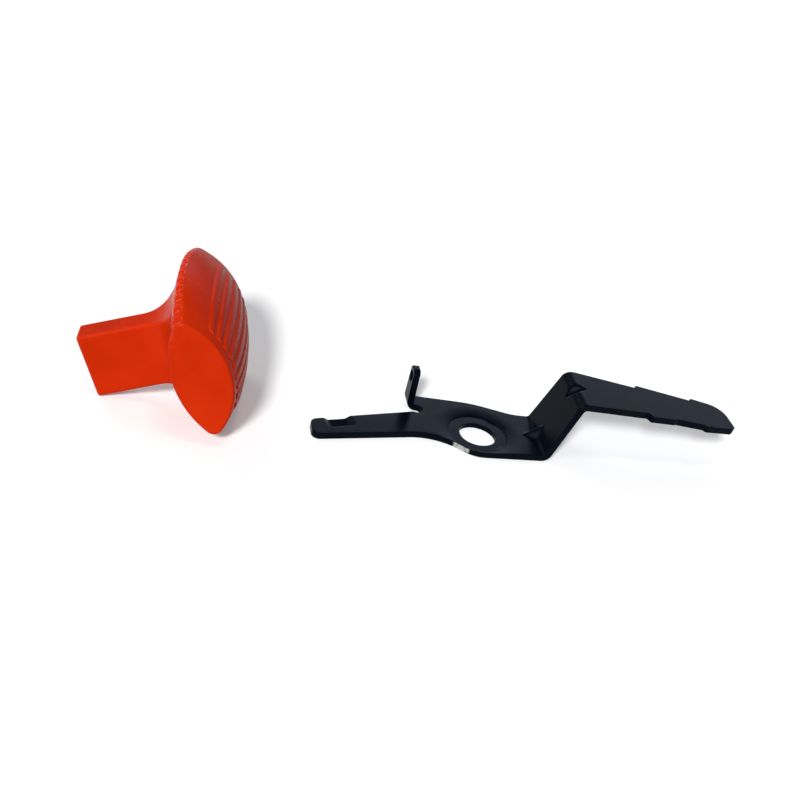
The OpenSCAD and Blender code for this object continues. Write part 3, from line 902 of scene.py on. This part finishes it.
def head_faces(numbers, front_n):
    """Quads of the head without its back, which has the stem's opening."""
    back_from = front_n + CAP_STEPS - 1
    back_to = back_from + BACK_STEPS
    n = numbers.shape[1]
    columns = [i for i in range(n) if not back_from <= i < back_to]
    a = numbers[:-1][:, columns]
    b = numbers[1:][:, columns]
    after = [(i + 1) % n for i in columns]
    a_next = numbers[:-1][:, after]
    b_next = numbers[1:][:, after]
    return np.stack([a, a_next, b_next, b], -1).reshape(-1, 4)


def back_patch(points, numbers, front_n, opening, opening_numbers):
    """Triangles of the head's back, from its grid's points round the stem's opening."""
    back_from = front_n + CAP_STEPS - 1
    columns = numbers[:, back_from:back_from + BACK_STEPS + 1]
    border = np.concatenate([columns[:, 0], columns[-1, 1:-1], columns[::-1, -1],
                             columns[0, -2:0:-1]])
    inner = columns[1:-1, 1:-1].ravel()
    flat = points[:, 1:]
    loop = opening[:, 1:]
    inner = inner[~inside(flat[inner], [loop])]
    inner = inner[clear_of(flat[inner], loop, OPENING_ROOM)]
    tris = triangles([flat[border], loop], flat[inner])
    return np.concatenate([border, opening_numbers, inner])[tris]


def end_cap(ring, numbers, start):
    """Rows that close a flat end: one close to its rim, then towards its middle."""
    middle = ring.mean(0)
    rows = [middle + (ring - middle) * share for share in (0.985, 0.7, 0.35)]
    faces = []
    before = numbers
    for k in range(len(rows)):
        row = start + k * len(ring) + np.arange(len(ring))
        faces.append(strip(before, row))
        before = row
    centre = start + len(rows) * len(ring)
    faces.append(np.stack([before, np.roll(before, -1), np.full(len(ring), centre)], 1))
    return np.concatenate(rows + [middle[None]]), faces


def build_knob():
    """The head with its two end faces, and the stem with its socket let into the head's back."""
    marks = front_marks()
    rings = [head_ring(y, marks) for y in bar_stations()]
    n = len(rings[0])
    points = [np.concatenate(rings)]
    numbers = np.arange(len(rings) * n).reshape(len(rings), n)
    faces = [head_faces(numbers, len(marks))]
    start = numbers.size
    for k in (0, -1):
        rows, cap = end_cap(rings[k], numbers[k], start)
        points.append(rows)
        faces += cap
        start += len(rows)
    stem = stem_marks()
    rows = socket_rows(stem)[::-1] + stem_rows(stem)
    m = len(stem)
    lines = start + np.arange(len(rows) * m).reshape(len(rows), m)
    faces += [strip(a, b) for a, b in zip(lines, lines[1:])]
    faces.append(back_patch(points[0], numbers, len(marks), rows[-1], lines[-1]))
    points += rows
    start += lines.size
    rows, cap = end_cap(rows[0], lines[0], start)
    points.append(rows)
    faces += cap
    piece = make_piece("grip_knob_plastic", np.concatenate(points), faces)
    place = lie_place()
    place.translation *= MM
    piece.data.transform(place)
    return piece


# Materials

PAINT_DARK = (0.0006, 0.0017, 0.0046)
PAINT_LIGHT = (0.0012, 0.0028, 0.0068)
PAINT_SCUFF = (0.42, 0.44, 0.41)
PAINT_SPECULAR = 0.03
SCUFF_AT = (-12.2, -13.2, 2)
SCUFF_R = 6.2
PLASTIC_DEEP = (0.505, 0.0205, 0.0017)
PLASTIC_LIGHT = (0.580, 0.0270, 0.0027)
PLASTIC_IOR = 1.065
EDGE_IOR = 1.7
EDGE_FROM = 0.515
EDGE_FULL = 0.56
GRIP_DULL_R = 47
GRIP_DULL_FADE = 0.04


def new_material(name):
    """A material, its node tree and its shader."""
    material = bpy.data.materials.new(name)
    material.use_nodes = True
    tree = material.node_tree
    tree.nodes.clear()
    out = tree.nodes.new("ShaderNodeOutputMaterial")
    shader = tree.nodes.new("ShaderNodeBsdfPrincipled")
    tree.links.new(shader.outputs[0], out.inputs[0])
    return material, tree, shader


def noise(tree, scale, detail, rough=0.5):
    """Noise over the piece's own coordinates, in metres."""
    place = tree.nodes.new("ShaderNodeTexCoord")
    texture = tree.nodes.new("ShaderNodeTexNoise")
    texture.inputs["Scale"].default_value = scale
    texture.inputs["Detail"].default_value = detail
    texture.inputs["Roughness"].default_value = rough
    tree.links.new(place.outputs["Object"], texture.inputs["Vector"])
    return texture.outputs["Fac"]


def spread(tree, value, low, high, out_low, out_high):
    """Runs from out_low to out_high as the value goes from low to high."""
    node = tree.nodes.new("ShaderNodeMapRange")
    node.inputs["From Min"].default_value = low
    node.inputs["From Max"].default_value = high
    node.inputs["To Min"].default_value = out_low
    node.inputs["To Max"].default_value = out_high
    tree.links.new(value, node.inputs["Value"])
    return node.outputs["Result"]


def blend_colours(tree, factor, first, second):
    """The first colour where the factor is 0 and the second where it is 1."""
    node = tree.nodes.new("ShaderNodeMix")
    node.data_type = "RGBA"
    for socket, colour in ((node.inputs[6], first), (node.inputs[7], second)):
        if isinstance(colour, tuple):
            socket.default_value = (*colour, 1)
        else:
            tree.links.new(colour, socket)
    tree.links.new(factor, node.inputs[0])
    return node.outputs[2]


def combined(tree, operation, a, b):
    """Two values joined by one operation of a maths node."""
    node = tree.nodes.new("ShaderNodeMath")
    node.operation = operation
    tree.links.new(a, node.inputs[0])
    tree.links.new(b, node.inputs[1])
    return node.outputs[0]


def bump(tree, shader, layers):
    """Bump from layers of noise, each given as output, strength and depth in metres."""
    normal = None
    for value, strength, depth in layers:
        node = tree.nodes.new("ShaderNodeBump")
        node.inputs["Strength"].default_value = strength
        node.inputs["Distance"].default_value = depth
        tree.links.new(value, node.inputs["Height"])
        if normal is not None:
            tree.links.new(normal, node.inputs["Normal"])
        normal = node.outputs["Normal"]
    tree.links.new(normal, shader.inputs["Normal"])


def near_place(tree, place, radius):
    """1 at a place on the piece, falling to 0 at the radius; all in millimetres."""
    at = tree.nodes.new("ShaderNodeTexCoord")
    away = tree.nodes.new("ShaderNodeVectorMath")
    away.operation = "DISTANCE"
    away.inputs[1].default_value = Vector(place) * MM
    tree.links.new(at.outputs["Object"], away.inputs[0])
    return spread(tree, away.outputs["Value"], 0, radius * MM, 1, 0)


def edge_share(tree):
    """0 on flats and in corners, and up to 1 on outer edges."""
    shape = tree.nodes.new("ShaderNodeNewGeometry")
    return spread(tree, shape.outputs["Pointiness"], EDGE_FROM, EDGE_FULL, 0, 1)


def on_side(tree):
    """0 where the surface faces up, and 1 on a side wall."""
    shape = tree.nodes.new("ShaderNodeNewGeometry")
    parts = tree.nodes.new("ShaderNodeSeparateXYZ")
    tree.links.new(shape.outputs["Normal"], parts.inputs[0])
    return spread(tree, parts.outputs["Z"], 0.3, 0.6, 1, 0)


def scuff_share(tree):
    """The worn, speckled place on the side wall nearest the bore."""
    speck = spread(tree, noise(tree, scale=620, detail=5, rough=0.7), 0.36, 0.48, 0, 1)
    place = spread(tree, near_place(tree, SCUFF_AT, SCUFF_R), 0.1, 0.3, 0, 1)
    return combined(tree, "MULTIPLY", combined(tree, "MULTIPLY", speck, place), on_side(tree))


def black_paint():
    """Gloss black paint with a blue cast, worn through at one place."""
    material, tree, shader = new_material("black_paint")
    broad = spread(tree, noise(tree, scale=45, detail=4), 0.35, 0.65, 0, 1)
    colour = blend_colours(tree, broad, PAINT_DARK, PAINT_LIGHT)
    colour = blend_colours(tree, scuff_share(tree), colour, PAINT_SCUFF)
    tree.links.new(colour, shader.inputs["Base Color"])
    rough = spread(tree, noise(tree, scale=160, detail=4), 0.3, 0.7, 0.20, 0.28)
    tree.links.new(rough, shader.inputs["Roughness"])
    shader.inputs["Specular IOR Level"].default_value = PAINT_SPECULAR
    grain = noise(tree, scale=900, detail=2)
    waves = noise(tree, scale=220, detail=2)
    bump(tree, shader, [(grain, 0.05, 0.0002), (waves, 0.06, 0.0004)])
    return material


def orange_plastic():
    """Moulded plastic, which shines on its edges and is dull on the grip and the flats."""
    material, tree, shader = new_material("orange_plastic")
    broad = spread(tree, noise(tree, scale=30, detail=3), 0.35, 0.65, 0, 1)
    colour = blend_colours(tree, broad, PLASTIC_DEEP, PLASTIC_LIGHT)
    tree.links.new(colour, shader.inputs["Base Color"])
    rough = spread(tree, noise(tree, scale=120, detail=4), 0.3, 0.7, 0.22, 0.30)
    tree.links.new(rough, shader.inputs["Roughness"])
    grip = near_place(tree, lie_place() @ Vector((HEAD_FRONT, 0, 0)), GRIP_DULL_R)
    off_grip = spread(tree, grip, 0, GRIP_DULL_FADE, 1, 0)
    edge = combined(tree, "MULTIPLY", edge_share(tree), off_grip)
    tree.links.new(spread(tree, edge, 0, 1, PLASTIC_IOR, EDGE_IOR), shader.inputs["IOR"])
    grain = noise(tree, scale=1100, detail=2)
    waves = noise(tree, scale=90, detail=2)
    bump(tree, shader, [(grain, 0.06, 0.0001), (waves, 0.05, 0.0006)])
    return material


# Studio

SKY_BLUE = (0.68, 0.78, 1.0)
WORLD_LIGHT = 0.13
SKY = ((0.00, (1.00, 1.00, 1.00)),
       (0.06, (1.00, 1.00, 1.00)),
       (0.12, (0.46, 0.50, 0.56)),
       (0.28, (0.46, 0.50, 0.56)),
       (0.38, (0.68, 0.80, 1.00)),
       (0.575, (0.68, 0.80, 1.00)),
       (0.635, (0.03, 0.04, 0.05)),
       (0.86, (0.03, 0.04, 0.05)),
       (0.96, (0.20, 0.24, 0.30)))
FLOOR_HALF = 5.0
FLOOR_GLOW = 0.16
FLOOR_WHITE = 0.96
FLOOR_BOUNCE = 0.6
CAMERA_AT = (-219.3, -549.0, 370.05)
CAMERA_RIGHT = (0.9557, -0.2944, 0)
CAMERA_AHEAD = (0.2515, 0.8166, -0.5195)
CAMERA_ROLL = math.radians(15.01)
CAMERA_LENS = 54.47
CAMERA_FILM = 36


def seen_ray(tree):
    """1 for the rays that show the background itself: camera, glossy and transmission."""
    path = tree.nodes.new("ShaderNodeLightPath")
    seen = path.outputs["Is Camera Ray"]
    for name in ("Is Glossy Ray", "Is Transmission Ray"):
        seen = combined(tree, "MAXIMUM", seen, path.outputs[name])
    return seen


def sky_colour(tree):
    """By height: white, a grey backdrop, a pale blue band and a dark ceiling with a lamp."""
    way = tree.nodes.new("ShaderNodeTexCoord")
    parts = tree.nodes.new("ShaderNodeSeparateXYZ")
    ramp = tree.nodes.new("ShaderNodeValToRGB")
    tree.links.new(way.outputs["Generated"], parts.inputs[0])
    tree.links.new(parts.outputs["Z"], ramp.inputs[0])
    stops = ramp.color_ramp.elements
    while len(stops) < len(SKY):
        stops.new(1)
    for stop, (height, colour) in zip(stops, SKY):
        stop.position = height
        stop.color = (*colour, 1)
    return ramp.outputs[0]


def set_world():
    """The sky colours for the rays that show it, a plain dim light for the others."""
    world = bpy.data.worlds.new("studio")
    bpy.context.scene.world = world
    world.use_nodes = True
    tree = world.node_tree
    colour = blend_colours(tree, seen_ray(tree), (WORLD_LIGHT,) * 3, sky_colour(tree))
    tree.links.new(colour, tree.nodes["Background"].inputs["Color"])
    tree.nodes["Background"].inputs["Strength"].default_value = 1


def floor_white():
    """White to the rays that show it, and grey to those that carry its light to the pieces."""
    material, tree, shader = new_material("floor_white")
    shader.inputs["Roughness"].default_value = 0.9
    shader.inputs["Specular IOR Level"].default_value = 0.0
    shader.inputs["Emission Color"].default_value = (1, 1, 1, 1)
    seen = seen_ray(tree)
    glow = spread(tree, seen, 0, 1, 0, FLOOR_GLOW)
    tree.links.new(glow, shader.inputs["Emission Strength"])
    colour = blend_colours(tree, seen, (FLOOR_BOUNCE,) * 3, (FLOOR_WHITE,) * 3)
    tree.links.new(colour, shader.inputs["Base Color"])
    return material


def add_floor():
    """A wide level floor under both pieces."""
    mesh = bpy.data.meshes.new("floor")
    corners = [(x * FLOOR_HALF, y * FLOOR_HALF, 0) for x, y in ((-1, -1), (1, -1), (1, 1), (-1, 1))]
    mesh.from_pydata(corners, [], [(0, 1, 2, 3)])
    mesh.materials.append(floor_white())
    floor = bpy.data.objects.new("floor", mesh)
    bpy.context.scene.collection.objects.link(floor)


def add_sun(name, azimuth, elevation, strength, width, colour=(1, 1, 1)):
    """A far lamp, seen from azimuth (0 is -Y, 90 is +X) and elevation; width is its softness."""
    light = bpy.data.lights.new(name, "SUN")
    light.energy = strength
    light.color = colour
    light.angle = math.radians(width)
    a, e = math.radians(azimuth), math.radians(elevation)
    towards = Vector((math.sin(a) * math.cos(e), -math.cos(a) * math.cos(e), math.sin(e)))
    lamp = bpy.data.objects.new(name, light)
    lamp.rotation_euler = towards.to_track_quat("Z", "Y").to_euler()
    bpy.context.scene.collection.objects.link(lamp)


def add_camera():
    """The photo's view, rolled about the way it looks."""
    ahead = Vector(CAMERA_AHEAD).normalized()
    level = Vector(CAMERA_RIGHT).normalized()
    rise = level.cross(ahead)
    right = level * math.cos(CAMERA_ROLL) + rise * math.sin(CAMERA_ROLL)
    up = rise * math.cos(CAMERA_ROLL) - level * math.sin(CAMERA_ROLL)
    data = bpy.data.cameras.new("camera")
    data.lens = CAMERA_LENS
    data.sensor_width = CAMERA_FILM
    camera = bpy.data.objects.new("camera", data)
    turn = Matrix((right, up, -ahead)).transposed().to_4x4()
    camera.matrix_world = Matrix.Translation(Vector(CAMERA_AT) * MM) @ turn
    bpy.context.scene.collection.objects.link(camera)
    bpy.context.scene.camera = camera


lever = build_lever()
lever.data.materials.append(black_paint())
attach(lever, "root")
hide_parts("lever_plate")

knob = build_knob()
knob.data.materials.append(orange_plastic())
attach(knob, "root")
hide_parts("grip_knob")

set_world()
add_floor()
add_sun("key", azimuth=-28, elevation=36, strength=3.3, width=10)
add_sun("top", azimuth=0, elevation=80, strength=0.25, width=10)
add_sun("back_left", azimuth=-140, elevation=42, strength=0.5, width=30)
add_sun("back", azimuth=163, elevation=24, strength=0.31, width=22, colour=SKY_BLUE)
add_sun("back_right", azimuth=141, elevation=20, strength=0.10, width=24, colour=SKY_BLUE)
add_sun("fill", azimuth=32, elevation=14, strength=0.15, width=50)
add_camera()
bpy.context.scene.view_settings.view_transform = "Standard"
